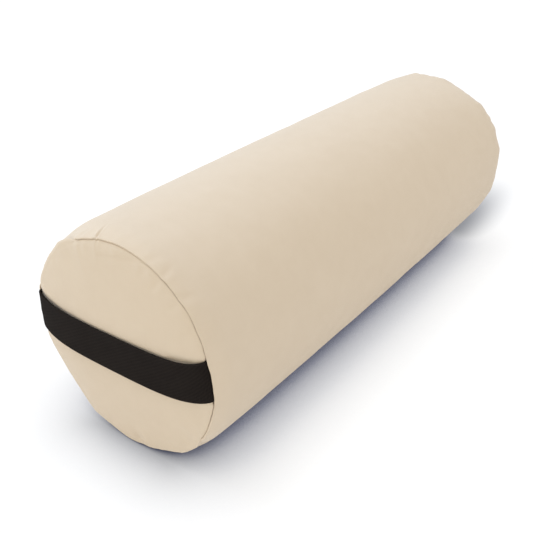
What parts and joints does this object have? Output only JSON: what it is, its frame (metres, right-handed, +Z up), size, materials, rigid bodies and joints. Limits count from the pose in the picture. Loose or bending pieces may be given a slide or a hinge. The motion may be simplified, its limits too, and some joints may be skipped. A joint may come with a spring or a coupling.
{
  "type": "round yoga bolster",
  "caption": "Firm round yoga bolster in a natural canvas cover, with a flattened underside, softly domed ends, a dark webbing carry strap across each end and a side zip.",
  "frame": {"origin": "middle of the flattened underside, midway between the two ends", "axes": "+X along the bolster from its front end to its rear end, +Y towards the side with the zip, +Z up"},
  "size_m": [0.6314, 0.231, 0.2229],
  "materials": {
    "canvas": "natural undyed cotton canvas, matte, fine plain weave",
    "webbing": "black-brown ribbed webbing, matte",
    "zip_tape": "beige woven tape, matte",
    "zip_teeth": "beige moulded coil, satin",
    "zip_metal": "plain nickelled metal, satin",
    "case_cotton": "plain off-white cotton",
    "batting": "soft fibrous cotton batting"
  },
  "bodies": {
    "bolster": {"cover_tube": "canvas", "front_end_panel": "canvas", "rear_end_panel": "canvas", "zip_tape_lower": "zip_tape", "zip_tape_upper": "zip_tape", "zip_teeth_lower": "zip_teeth", "zip_teeth_upper": "zip_teeth", "zip_top_stop_lower": "zip_metal", "zip_top_stop_upper": "zip_metal", "zip_bottom_stop": "zip_metal", "zip_front_tab": "canvas", "zip_rear_tab": "canvas", "case_tube": "case_cotton", "case_front_end": "case_cotton", "case_rear_end": "case_cotton", "batting_front_round": "batting", "batting_rear_round": "batting", "batting_roll": "batting"},
    "front_strap": {"front_carry_strap": "webbing"},
    "rear_strap": {"rear_carry_strap": "webbing"},
    "slider": {"zip_slider": "zip_metal"},
    "pull": {"zip_pull": "zip_metal"}
  },
  "joints": [
    {"name": "zip_slide", "type": "slide", "parent": "bolster", "child": "slider", "axis": [1, 0, 0], "range_m": [0, 0.4904]},
    {"name": "pull_swing", "type": "hinge", "parent": "slider", "child": "pull", "pos_m": [-0.2453, 0.10784, 0.15804], "axis": [0, -0.4225, 0.9064], "range_deg": [0, 178]},
    {"name": "front_strap_slack", "type": "slide", "parent": "bolster", "child": "front_strap", "axis": [-1, 0, 0], "range_m": [0, 0.014]},
    {"name": "rear_strap_slack", "type": "slide", "parent": "bolster", "child": "rear_strap", "axis": [1, 0, 0], "range_m": [0, 0.014]}
  ]
}
